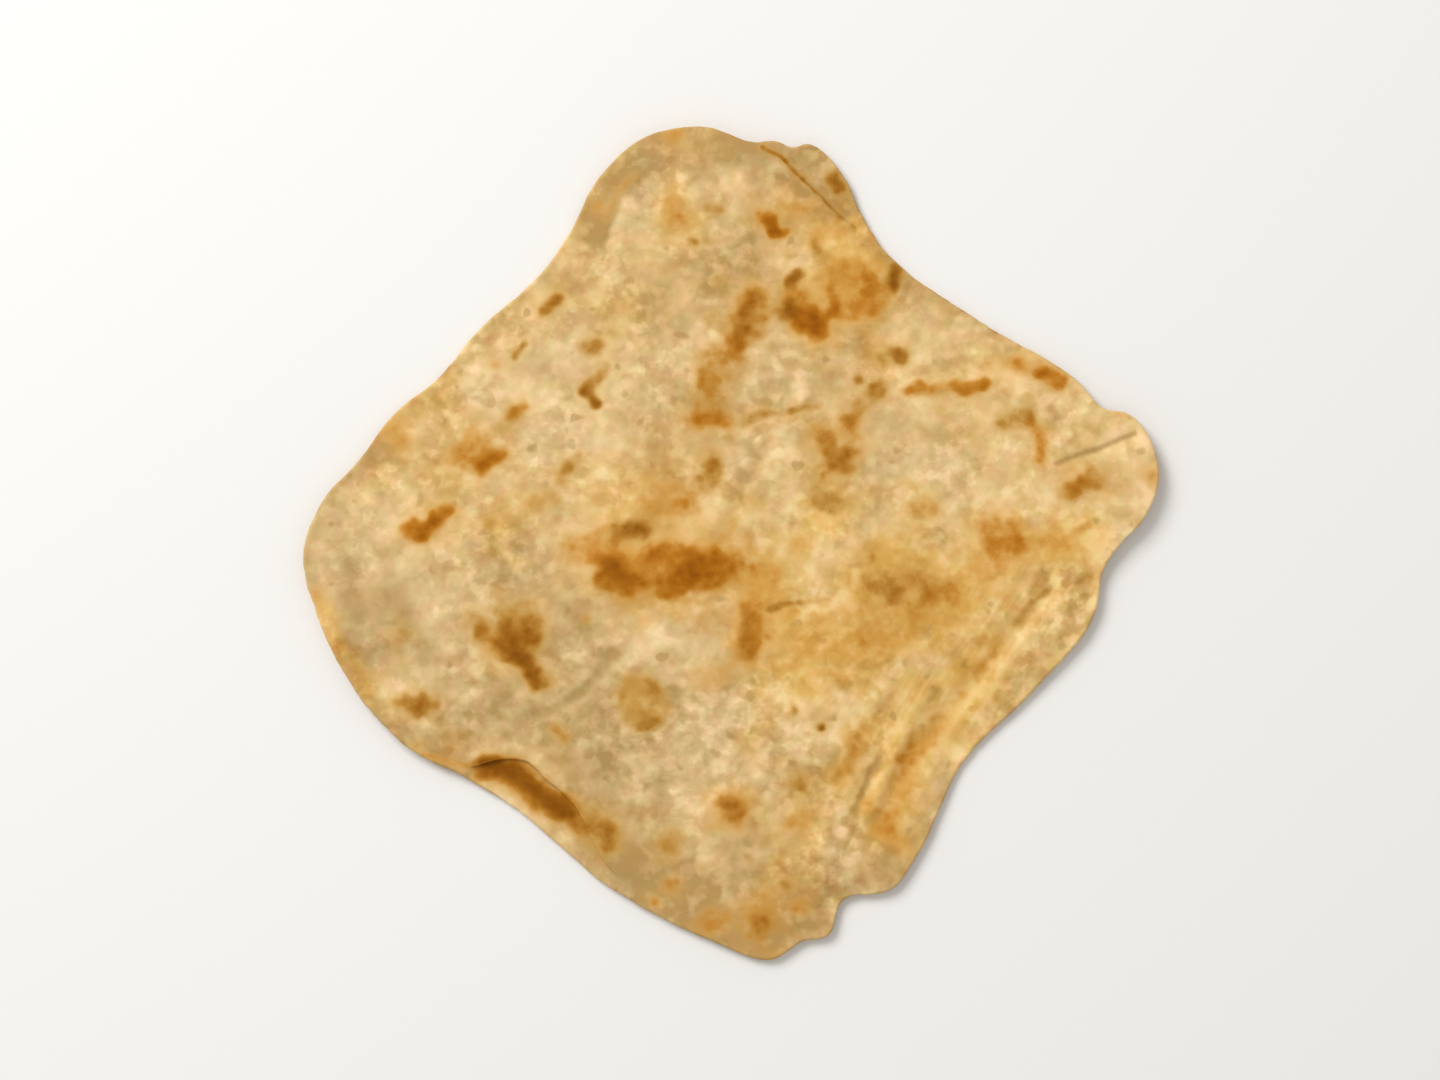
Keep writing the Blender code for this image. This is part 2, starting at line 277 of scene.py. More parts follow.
def nearestOf(place, points):
    # Distance to the nearest of the points and its number, in batches to keep the table small
    gaps, numbers = [], []
    for batch in np.array_split(place, 1 + len(place) // grid["batch"]):
        table = ((batch[:, None, :] - points[None]) ** 2).sum(axis=2)
        gaps.append(np.sqrt(table.min(axis=1)))
        numbers.append(table.argmin(axis=1))
    return np.concatenate(gaps), np.concatenate(numbers)


def bubbleField(place):
    # Small domes and dents at random spots, each exp(-(distance / half width)^2) up to its end
    draw = np.random.default_rng(bubbles["seed"])
    count, reach = bubbles["count"], bubbles["reach"]
    spots = draw.uniform(-reach, reach, (count, 2))
    widths = draw.uniform(*bubbles["halfWidth"], count)
    heights = draw.uniform(*bubbles["height"], count)
    heights = heights * draw.choice([1.0, bubbles["pressed"]], count)
    field = np.zeros(len(place))
    for spot, width, height in zip(spots, widths, heights):
        near = np.abs(place - spot).max(axis=1) < bubbles["end"] * width
        field[near] += height * np.exp(-((place[near] - spot) ** 2).sum(axis=1) / width**2)
    return field


def thickness(place, level):
    # Body that thins towards the rim, plus relief that fades out at the rim, plus level steps.
    # Each stroke of relief is exp(-bell * (distance / half width)^2). Also returns the distance
    # from the edge.
    fromEdge = nearestOf(place, rim[::grid["rimStep"], :2])[0]
    inside = smoothstep(0.0, bread["edgeFade"], fromEdge)
    inBody = smoothstep(0.0, bread["rimTaper"], fromEdge)
    body = bread["rimThickness"] + (bread["bodyThickness"] - bread["rimThickness"]) * inBody
    relief = swells(place) + bubbleField(place)
    for height, halfWidth, *points in ridges + blisters:
        away = distanceTo(place, pairs(points)) / halfWidth
        relief = relief + height * np.exp(-bread["bell"] * away**2)
    for height, size, seed in lumps["layers"]:
        relief = relief + height * lattice(place, size, seed)
    return body + relief * inside + bread["leafStep"] * level, fromEdge


rim = makeRim()
print("rim curve of", len(rim), "points")

# Every mark below: strength in percent, then in photo pixels its half width and the x and y of
# each point along it

# Lines that marks of several kinds follow
topFold = (762, 149, 779, 158, 803, 181, 823, 202, 841, 219)
lowerFold = (486, 767, 499, 767, 515, 772, 531, 782, 547, 796, 563, 810)
lowerCrease = (532, 715, 549, 712, 567, 703, 586, 689, 602, 670, 611, 652)
middleCrease = (752, 462, 732, 500, 714, 540)
tipCrease = (1056, 463, 1098, 448, 1132, 434)
upperStreak = (751, 305, 747, 318, 744, 332)
pleatStreak = (866, 732, 852, 752, 840, 776)

# Browned spots, orange-brown
toastMarks = [
    # left tip and upper left side
    (74, 8, 411, 532, 420, 531), (50, 7, 426, 533, 436, 525),
    (74, 6, 437, 522, 445, 515, 451, 509), (25, 5, 497, 367), (56, 6, 514, 413, 523, 407),
    (36, 12, 462, 448, 482, 442), (28, 11, 458, 456, 468, 462), (72, 8, 484, 463, 497, 455),
    (42, 5, 480, 471, 487, 467), (32, 7, 598, 207), (35, 8, 672, 140),
    (28, 9, 674, 205, 678, 232), (28, 8, 689, 220), (30, 12, 392, 430, 402, 440),
    # upper right side
    (10, 17, 690, 147, 718, 149), (70, 7, 767, 219, 771, 230), (60, 5, 771, 231, 784, 233),
    (32, 9, 782, 203, 800, 210), (60, 12, 798, 306, 812, 322), (70, 8, 808, 316, 818, 330),
    (64, 7, 832, 312), (40, 7, 831, 294), (32, 14, 844, 270, 868, 280),
    (30, 12, 868, 288, 870, 306), (24, 10, 789, 292), (30, 12, 840, 306, 858, 310),
    (16, 24, 850, 280, 858, 300), (26, 8, 822, 236, 838, 228), (35, 7, 890, 291),
    (42, 12, *upperStreak), (50, 6, 739, 342, 735, 354),
    (24, 19, 718, 362, 710, 390, 708, 412), (30, 4, 702, 383), (42, 7, 694, 420, 724, 418),
    (46, 6, 908, 391, 945, 390, 984, 387), (36, 6, 957, 386, 984, 385), (36, 4, 918, 382),
    (32, 6, 1006, 363, 1016, 358), (38, 7, 1021, 368, 1036, 372),
    (64, 7, 1040, 375, 1058, 381), (24, 17, 828, 438, 835, 452), (26, 14, 842, 461),
    (35, 8, 852, 424), (50, 6, 1032, 422, 1040, 438, 1042, 457),
    (34, 13, 1078, 483, 1086, 480), (30, 8, 1062, 491, 1072, 489), (32, 8, 1149, 475),
    (20, 9, 912, 508, 930, 507), (44, 17, 992, 527, 1006, 536), (34, 13, 992, 554, 994, 576),
    (32, 10, 1020, 546, 1052, 540), (28, 9, 1068, 546), (42, 4, 1073, 531, 1086, 525),
    # middle
    (30, 16, 652, 502, 676, 505), (22, 12, 690, 496, 686, 512), (36, 18, 583, 549, 604, 541),
    (36, 18, 614, 574, 626, 578), (78, 13, 612, 570, 620, 582),
    (58, 9, 654, 554, 674, 551, 694, 549), (47, 18, 648, 572, 690, 572, 722, 570),
    (68, 12, 682, 578, 704, 568, 714, 566), (42, 8, 664, 586, 690, 584),
    (34, 16, 744, 562, 766, 586), (26, 5, 716, 548, 734, 522), (28, 7, 798, 545),
    (47, 11, 752, 614, 752, 632), (44, 9, 743, 640, 744, 655), (30, 12, 843, 652, 858, 640),
    (23, 24, 778, 636, 800, 652), (20, 36, 882, 588, 930, 600), (19, 18, 908, 616, 880, 634),
    (30, 10, 938, 596, 952, 602), (22, 10, 702, 677, 722, 674), (30, 5, 586, 621),
    # lower left side
    (30, 12, 486, 640, 502, 644), (28, 12, 515, 640), (14, 7, 559, 732),
    (38, 3, 424, 755, 445, 759, 470, 767), (50, 10, *lowerFold),
    (32, 13, 500, 772, 530, 785, 556, 806), (16, 10, 566, 810, 582, 824), (35, 4, 417, 746),
    (24, 9, 674, 884), (52, 5, 655, 902), (42, 10, 706, 922, 720, 924),
    # lower right side and bottom tip
    (40, 17, 730, 806, 736, 810), (36, 10, 798, 820), (34, 20, 760, 914, 766, 928),
    (36, 7, 800, 905), (20, 10, *pleatStreak), (36, 7, 992, 651, 982, 666),
    (24, 8, 974, 678, 960, 694), (34, 8, 938, 722, 932, 734), (28, 12, 924, 738, 912, 754),
    (34, 13, 910, 758, 901, 784), (46, 15, 882, 814, 886, 824),
]

# Browned spots, olive-brown. The thin lines along the upper leaf's edge and along the creases are
# painted shade, not browning
umberMarks = [
    # The first two marks, along the upper leaf's edge, are painted shadow
    (60, 2.5, *topFold[:6]), (50, 2.5, *topFold[4:]), (68, 6, 543, 312, 556, 301),
    (46, 4, 514, 356, 524, 344), (58, 8, 587, 349, 594, 347), (25, 6, 447, 382),
    (76, 5, 583, 390, 590, 395, 597, 404), (44, 5, 588, 385, 598, 379, 606, 368),
    (30, 7, 503, 427, 513, 420), (48, 6, 562, 477, 568, 471), (32, 5, 569, 467, 577, 457),
    (34, 7, 534, 505, 552, 497), (42, 6, 491, 524), (76, 8, 634, 528, 643, 529),
    (36, 9, 618, 532), (60, 11, 710, 462, 708, 476), (18, 9, 912, 509, 930, 508),
    (50, 9, 1006, 423, 1026, 418), (47, 10, 820, 492, 833, 505), (36, 16, 828, 438, 835, 452),
    (32, 14, 841, 460), (38, 7, 874, 392, 862, 406, 850, 420),
    # These two thin lines darken a crease: painted shade
    (47, 3, 770, 611, 785, 604, 800, 602), (28, 3, 800, 602, 828, 600),
    (32, 16, 870, 566, 882, 590), (30, 8, 882, 588, 892, 594), (28, 15, 918, 574, 930, 590),
    (22, 6, 640, 727, 655, 723), (26, 4, 617, 692, 630, 677), (36, 4, 650, 681, 656, 692),
    (46, 9, 474, 624, 477, 635), (38, 17, 508, 618, 530, 618), (46, 12, 508, 631, 520, 634),
    (36, 8, 535, 626, 537, 637), (42, 12, 508, 646, 516, 650),
    (82, 9, 514, 654, 530, 669, 540, 680), (48, 6, 522, 664, 535, 675),
    (64, 9, 408, 701, 420, 704, 430, 707), (50, 7, 420, 713), (48, 11, 596, 822, 607, 840),
    (45, 7, 816, 250, 819, 261), (40, 8, 727, 803, 734, 810), (32, 13, 762, 918),
    (28, 9, *circle(643, 702, 13)), (28, 4, *circle(643, 703, 24)), (24, 12, 643, 702),
    (80, 6, 796, 276, 789, 283), (46, 12, *upperStreak), (32, 17, 720, 360, 712, 392),
    (20, 14, 612, 576), (20, 9, 674, 884), (62, 8, 780, 312, 791, 308),
    (84, 7, 896, 270, 895, 282), (80, 7, 897, 355), (62, 5, 857, 381), (50, 5, 879, 358),
    (36, 4, 883, 366), (30, 4, 888, 350), (50, 8, 877, 389), (36, 6, 748, 421, 762, 415),
    (28, 4, 762, 415, 790, 414), (40, 4, 793, 412, 815, 406), (42, 5, 711, 209, 722, 212),
    (50, 5, 692, 243), (30, 6, 708, 322, 714, 318), (30, 5, 718, 280),
    (76, 7, 834, 182, 838, 191), (50, 6, 608, 826, 611, 845), (90, 4, 822, 727),
    # The first thin line darkens a crease and the second a fold: painted shade
    (32, 3, 864, 667, 874, 666, 891, 656), (32, 3, 606, 221, 617, 199, 634, 176),
    (38, 4, 788, 715, 793, 708), (62, 8, 796, 779, 798, 784), (80, 9, *lowerFold),
    (40, 10, 566, 808, 582, 824), (30, 9, *pleatStreak), (32, 10, 1075, 484, 1088, 478),
    (46, 12, 667, 843), (36, 6, 556, 730, 564, 738), (32, 8, 746, 616, 744, 650),
    (50, 6, 786, 884), (45, 5, 1016, 622, 1030, 607, 1046, 590),
]

# Golden, oily areas
goldMarks = [
    (16, 40, 680, 250, 650, 300, 610, 340), (26, 34, 920, 320, 1000, 430),
    (50, 18, 676, 208, 686, 226), (22, 12, 395, 430, 440, 385),
    (40, 28, 430, 475, 470, 520, 520, 520), (28, 30, 570, 480, 640, 500),
    (35, 24, 800, 790, 795, 870), (80, 20, 832, 515), (45, 16, 742, 500), (40, 18, 450, 402),
    (35, 18, 388, 482), (30, 18, 1050, 670, 1020, 700), (70, 9, 318, 600, 343, 650, 368, 682),
    (45, 15, 400, 630), (45, 22, 475, 445), (92, 9, *circle(643, 702, 13)),
    (95, 30, 835, 250, 850, 290), (55, 22, 800, 300, 815, 330), (50, 14, 790, 205),
    (90, 18, 738, 575), (80, 16, 750, 628), (50, 20, 1002, 572), (25, 22, 515, 540),
    (100, 32, 768, 640, 800, 660, 840, 650), (45, 16, 765, 690, 755, 740),
    (80, 24, 850, 642, 905, 618), (100, 30, 880, 580, 936, 600), (25, 50, 840, 610, 940, 580),
    (80, 20, 995, 545, 1040, 545, 1080, 535), (25, 30, 1010, 530, 1060, 560),
    (95, 17, 996, 648, 962, 692, 932, 732, 904, 768, 888, 830), (40, 15, 1000, 700, 955, 752),
    (35, 24, 1075, 580, 1050, 650), (25, 30, 1020, 600, 930, 710, 880, 800),
    (50, 10, 1050, 590, 1012, 630), (50, 16, 915, 508), (55, 12, 868, 727, 842, 772),
    (50, 14, 872, 350, 884, 366), (20, 24, 830, 440, 845, 480), (40, 24, 764, 920),
    (50, 24, 730, 800), (30, 34, 600, 545), (60, 40, 640, 570, 700, 570, 760, 580),
    (40, 14, 800, 545), (30, 14, 602, 838), (60, 20, 780, 616, 800, 634),
    (80, 24, 888, 585, 930, 592), (60, 22, 910, 700, 903, 770), (40, 18, 500, 660),
    (40, 14, 450, 742),
]

# Greyish areas, where the dough stayed pale and floury. On the drooping bottom tip they are
# painted shade
coolMarks = [
    (70, 60, 370, 580, 440, 600), (90, 50, 550, 600, 600, 640, 690, 640),
    (70, 80, 500, 700, 690, 740, 690, 850), (95, 17, 500, 798, 560, 835, 592, 862),
    (85, 34, 690, 350), (55, 24, 650, 150, 760, 160), (60, 20, 808, 170, 836, 205),
    # The last mark here and the first below grey the drooping bottom tip: painted shade
    (70, 30, 566, 530, 545, 615), (50, 24, 610, 845), (75, 30, 716, 912, 775, 945),
    (90, 16, 740, 950, 775, 954), (40, 16, 845, 608), (50, 18, 548, 612),
    (50, 24, 712, 350, 708, 400), (40, 20, 1000, 640), (40, 20, 722, 330),
    (50, 24, 640, 545, 640, 605), (75, 26, 700, 735, 740, 780), (40, 34, 970, 510),
    (45, 60, 540, 400, 520, 450), (30, 60, 760, 370, 900, 350),
]

# Where fine parallel streaks run along the pressed pleats
pleatMarks = [
    (95, 34, 1030, 590, 960, 650, 905, 730, 866, 810),
    (60, 22, 1080, 580, 1000, 690, 930, 790), (90, 32, 930, 650, 890, 690, 850, 710),
]

# Thin lines of painted shade along the creases, the folds and the upper leaf's edge
creaseShadeMarks = [
    (90, 2, *tipCrease), (100, 3, 603, 240, 612, 222, 622, 200, 640, 178, 660, 160),
    (100, 4, *lowerCrease), (60, 3, 820, 665, 870, 667, 890, 657), (50, 6, *middleCrease),
    (100, 3, *topFold), (90, 7, 712, 209, 722, 212), (70, 4, 882, 752, 866, 786, 855, 815),
    (60, 9, 608, 830, 611, 850), (25, 22, 930, 690, 890, 700),
]

# Lightness of the plain dough: positive is dry and pale, negative is thin or shaded. Many marks
# are painted light: painted highlights on the lit sides of folds and pleat ridges and on the right
# tip, and painted shade in the creases, along the upper leaf's edge, on the top tip, on the
# lower-left lip and on the drooping bottom tip
toneShadeAndHighlightMarks = [
    (50, 24, 504, 350, 512, 400, 502, 440), (40, 30, 590, 340, 560, 380, 620, 400),
    (60, 22, 640, 232, 690, 210), (35, 14, 740, 175), (45, 34, 400, 500, 440, 540, 450, 610),
    (40, 26, 565, 520, 600, 500), (50, 16, 700, 530, 740, 535), (58, 22, 640, 640, 680, 612),
    (35, 14, 426, 735), (35, 24, 540, 700), (35, 30, 790, 345, 770, 390),
    (45, 26, 790, 470, 790, 510), (35, 40, 900, 500, 990, 500), (75, 28, 930, 365, 1000, 375),
    (40, 20, 1055, 405, 1058, 450), (45, 22, 960, 512), (35, 20, 875, 440, 905, 445),
    (40, 18, 455, 492, 472, 488), (40, 18, 452, 655, 440, 690), (45, 16, 842, 606, 872, 600),
    (80, 16, 768, 646), (40, 14, 720, 340), (40, 16, 1036, 462), (35, 22, 955, 575, 985, 562),
    (40, 18, 1080, 556), (35, 18, 735, 722), (40, 14, 702, 508, 700, 530),
    # The first mark brightens the right tip, which faces the light: painted light
    (75, 26, 1130, 430, 1140, 500, 1100, 530), (30, 60, 1060, 510, 960, 520),
    (30, 30, 560, 445, 600, 430), (30, 24, 1030, 570, 1045, 640), (40, 26, 700, 770, 715, 720),
    (40, 24, 690, 810, 730, 850), (65, 22, 800, 690, 860, 700), (35, 20, 830, 830, 850, 860),
    # Painted highlight along the upper edge of the lower-left lip
    (75, 5, 478, 752, 497, 743, 516, 746, 536, 758, 556, 775, 576, 797),
    # Painted highlights on the pleat ridges
    (90, 5, 876, 738, 857, 774, 846, 806, 837, 831),
    (100, 5, 914, 708, 891, 757, 881, 780, 874, 800),
    (70, 6, 974, 694, 948, 728, 928, 763, 917, 786), (40, 30, 905, 735, 890, 780),
    # The second mark is a painted highlight on a fold ridge
    (50, 14, 1000, 665, 960, 725, 925, 790), (40, 7, 852, 790, 832, 830, 824, 858),
    # Painted shade beside that ridge, and on the top tip where it tilts away from the light
    (-55, 6, 822, 862, 812, 885, 806, 905), (-100, 23, 622, 155, 660, 143, 700, 143, 748, 154),
    # Painted shade on the dark side of the fold near the top
    (-60, 16, 636, 180, 664, 164, 690, 160), (-50, 13, 592, 226, 604, 192, 626, 160),
    # Painted shade in that fold's crease
    (-100, 4, 600, 238, 608, 220, 618, 198, 636, 175, 657, 157),
    # The first mark is a painted highlight on the lit side of that fold
    (60, 6, 612, 244, 621, 220, 632, 202, 651, 184), (-85, 17, 795, 158, 822, 182, 846, 208),
    # The first mark is painted shadow along the upper leaf's edge
    (-100, 3, *topFold), (-45, 8, 848, 215, 866, 240), (-50, 8, 880, 255, 930, 290, 965, 312),
    # The second mark is painted shade in a crease
    (60, 15, 692, 528, 706, 508), (-35, 7, *middleCrease), (50, 24, 520, 400, 530, 465),
    (40, 14, 598, 355, 604, 375), (45, 22, 575, 520, 590, 530), (55, 20, 400, 680, 440, 684),
    (45, 18, 590, 664, 690, 660), (60, 12, 684, 600, 720, 600), (40, 40, 830, 540, 870, 540),
    (40, 20, 850, 600, 880, 604), (50, 18, 1085, 385, 1110, 405), (90, 20, 1064, 514),
    (50, 18, 900, 400, 930, 410), (75, 16, 935, 712, 955, 690), (95, 13, 888, 765, 876, 788),
    (50, 14, 985, 722, 960, 745), (40, 14, 732, 462), (40, 14, 770, 352), (40, 16, 622, 265),
    (40, 16, 790, 752), (40, 14, 582, 788), (40, 14, 690, 772), (40, 12, 778, 240, 790, 262),
    (-60, 10, 436, 742, 462, 752), (-40, 24, 560, 720, 570, 770), (-70, 16, 620, 806),
    (-50, 18, 690, 930, 760, 950), (-50, 20, 566, 312), (-50, 15, 655, 525),
    (-35, 16, 700, 634), (-40, 18, 416, 625, 410, 655), (-30, 16, 800, 178, 818, 200),
    (-40, 20, 425, 585, 440, 570), (85, 9, 832, 247, 848, 252), (65, 7, 808, 262, 824, 279),
    (30, 8, 846, 288, 850, 294), (-55, 26, 725, 262, 740, 300),
    # The second mark is painted shade on the drooping lower-left lip
    (-30, 45, 480, 730, 560, 750, 650, 730), (-45, 12, 380, 705, 420, 745, 470, 775),
    # The first mark is painted shade on the drooping bottom tip
    (-50, 40, 680, 896, 790, 916), (-80, 15, 345, 478, 390, 442), (35, 18, 392, 590),
    (30, 14, 430, 508), (40, 13, 930, 708), (-35, 16, 645, 312), (-40, 15, 540, 330),
    (-50, 13, 545, 412), (-35, 18, 650, 430, 692, 432), (-40, 18, 522, 525, 524, 600),
    (-95, 18, 472, 722), (-65, 26, 665, 868, 695, 876), (-70, 20, 742, 890),
    (-40, 15, 920, 462), (-40, 14, 990, 448), (-40, 18, 880, 370), (-40, 14, 800, 368),
    (-50, 14, 655, 440, 660, 490), (-60, 8, 410, 738, 440, 752),
    (60, 9, 500, 794, 535, 812, 562, 836), (-80, 22, 600, 810, 614, 862),
    (-35, 30, 650, 860, 700, 890, 770, 870), (-42, 20, 500, 735, 560, 742, 640, 732),
    # The first mark is painted shade on the drooping bottom tip
    (-50, 20, 820, 940, 750, 950), (-45, 20, 860, 880, 900, 860),
    (-40, 24, 650, 690, 560, 660), (-35, 20, 740, 600, 740, 650),
    # The second mark is painted shade in a pleat crease
    (-40, 12, 360, 560, 350, 640), (-100, 3, 877, 759, 870, 771, 862, 791, 856, 814),
    # The first mark is painted shade in a crease, the second painted shade on the bottom tip
    (-100, 4, *lowerCrease), (-60, 17, 740, 946, 785, 946), (-30, 34, 350, 590, 368, 655),
    # The last mark is painted shade in the crease at the right tip
    (-30, 26, 470, 590, 560, 640), (-40, 18, 484, 338), (-95, 2, *tipCrease),
    (-20, 12, 1010, 690, 1050, 655),
]

# Fine mottling: positive where the dough is rough, negative where it is smooth
grainMarks = [
    (-80, 56, 325, 585, 395, 630), (-50, 34, 600, 285, 660, 275), (-45, 34, 525, 695),
    (-40, 30, 595, 480), (-45, 34, 945, 490), (-30, 30, 805, 550),
    (70, 34, 800, 205, 875, 280), (50, 36, 735, 345), (80, 40, 1010, 560, 1070, 580),
    (100, 40, 735, 910, 800, 910, 850, 850), (70, 36, 805, 765, 875, 765), (60, 40, 595, 700),
    (80, 34, 735, 700), (60, 36, 805, 630), (50, 34, 455, 490, 400, 410),
]

marking = dict(
    core=0.15,  # full strength inside this share of the half width
    reach=2.15,  # and none beyond this one
    warps=[(0.40, 7.0, 41), (0.30, 2.7, 43)],  # share of the half width, size, seed
    haloWidth=(1.9, 5.0),  # golden surroundings: half width times the first, plus the second
    haloStrength=0.90,
    umberHalo=0.4,  # strength of the olive-brown marks' surroundings against the others'
)

# The underside shows nowhere in the photograph: its spots are drawn at random
underside = dict(seed=61, spots=95, halfWidth=(4.0, 24.0), strength=(30, 90), spread=430)


def warpFields(place):
    # Random offsets that change over a few millimetres, for uneven outlines
    return sum(
        far * np.column_stack([lattice(place, size, seed), lattice(place, size, seed + 1)])
        for far, size, seed in marking["warps"]
    )


def markField(place, marks):
    # 1 - product of (1 - mark): a mark is full near its line and falls to 0 past its half width
    left = np.ones(len(place))
    offsets = warpFields(place)
    for strength, halfWidth, *points in marks:
        wide = halfWidth * photo["mmPerPixel"]
        away = distanceTo(place + wide * offsets, fromPhoto(points)) / wide
        shown = 1.0 - smoothstep(marking["core"], marking["reach"], away)
        left *= 1.0 - strength / 100.0 * shown
    return 1.0 - left


def signedField(place, marks):
    # The positive marks' field less the negative ones'
    up = [mark for mark in marks if mark[0] > 0]
    down = [(-mark[0], *mark[1:]) for mark in marks if mark[0] < 0]
    return markField(place, up) - markField(place, down)


def haloField(place, marks):
    # The same marks, wider and fainter: the golden surroundings of the browned spots
    times, plus = marking["haloWidth"]
    share = marking["haloStrength"]
    wide = [(share * mark[0], times * mark[1] + plus, *mark[2:]) for mark in marks]
    return markField(place, wide)


def undersideMarks():
    # Random short strokes in photo pixels, more small ones than large
    draw = np.random.default_rng(underside["seed"])
    low, high = underside["halfWidth"]
    spread = underside["spread"]
    marks = []
    for _ in range(underside["spots"]):
        start = np.array(photo["middle"]) + draw.uniform(-spread, spread, 2)
        halfWidth = low + (high - low) * draw.random() ** 2
        turn = draw.uniform(0.0, 2.0 * np.pi)
        end = start + halfWidth * np.array([np.cos(turn), np.sin(turn)])
        marks.append((draw.uniform(*underside["strength"]), halfWidth, *start, *end))
    return marks


# Rows of the upper leaf's edge: how far out of the leaf's edge the row lies where the leaves end
# together and where the step is full, and its height in steps above the body
leafEdgeRows = [
    (0.25, 0.45, 0.38),
    (0.50, 0.72, 0.20),
    (0.75, 0.76, -0.10),
    (1.00, 0.64, -0.42),
    (1.25, 0.50, -0.60),
]

rimShape = dict(
    lowerRows=8,  # rows across the lower leaf
    roundRows=11,  # rows round the rim
    roundness=1.15,  # how far in the rim starts to round
    clearance=0.12,  # keeps the surface inside the solid's edge
    ragged=[(0.30, 5.0, 71), (0.22, 1.8, 72)],  # uneven edge: depth, size, seed
    leafWander=(0.5, 4.0, 77),  # the same for the upper leaf's edge, to either side
    lipWidth=5.0,  # how far in from its edge the upper leaf is raised
    browned=0.12,  # height of the browned spots above plain dough
    # Lines round the rim between the leaves: depth, level, width, size, seed
    creases=[(0.40, 0.62, 0.10, 9.0, 73), (0.30, 0.34, 0.09, 7.0, 75)],
    creaseWander=0.12,  # how far their level strays
    underInset=(2.4, 5.0),  # first row of the underside and its sheet's border, from the edge
    dents=[(0.10, 7.0, 81), (0.06, 3.5, 82)],  # in the underside: depth, size, seed
)


def borderCells(n):
    # Grid row and column of each border point, clockwise from the left tip
    k = np.arange(4 * n)
    i = np.select([k < n, k < 2 * n, k < 3 * n], [0, k - n, n], 4 * n - k)
    j = np.select([k < n, k < 2 * n, k < 3 * n], [k, n, 3 * n - k], 0)
    return i, j


def fillSheet(loop, passes):
    # Coons patch: the two sheets ruled between opposite sides, less the one ruled between corners.
    # Then each inner point moves to the mean of its neighbours a number of times.
    n = len(loop) // 4
    i, j = borderCells(n)
    sheet = np.zeros((n + 1, n + 1, 2))
    sheet[i, j] = loop
    u = np.linspace(0.0, 1.0, n + 1)[:, None, None]
    v = np.linspace(0.0, 1.0, n + 1)[None, :, None]
    left, right, bottom, top = sheet[:1], sheet[-1:], sheet[:, :1], sheet[:, -1:]
    corners = (
        (1 - u) * ((1 - v) * left[:, :1] + v * left[:, -1:])
        + u * ((1 - v) * right[:, :1] + v * right[:, -1:])
    )
    patch = (1 - u) * left + u * right + (1 - v) * bottom + v * top - corners
    for _ in range(passes):
        rows = patch[:-2, 1:-1] + patch[2:, 1:-1]
        patch[1:-1, 1:-1] = (rows + patch[1:-1, :-2] + patch[1:-1, 2:]) / 4
    return patch


def sheetFaces(n, first, up):
    # Squares of a grid whose first vertex has the given number
    i, j = np.meshgrid(np.arange(n), np.arange(n), indexing="ij")
    a = first + i.ravel() * (n + 1) + j.ravel()
    square = [a, a + n + 1, a + n + 2, a + 1]
    return np.stack(square if up else square[::-1], axis=1)


def bandFaces(inner, outer):
    # Squares between two closed rows of the same length
    return np.stack([inner, np.roll(inner, -1), np.roll(outer, -1), outer], axis=1)


def halvingFaces(inner, outer):
    # Triangles between a closed row and one with half as many points
    even, odd, later = inner[::2], inner[1::2], np.roll(inner, -2)[::2]
    after = np.roll(outer, -1)
    return np.concatenate([
        np.stack([even, odd, outer], axis=1),
        np.stack([odd, later, after], axis=1),
        np.stack([odd, after, outer], axis=1),
    ])


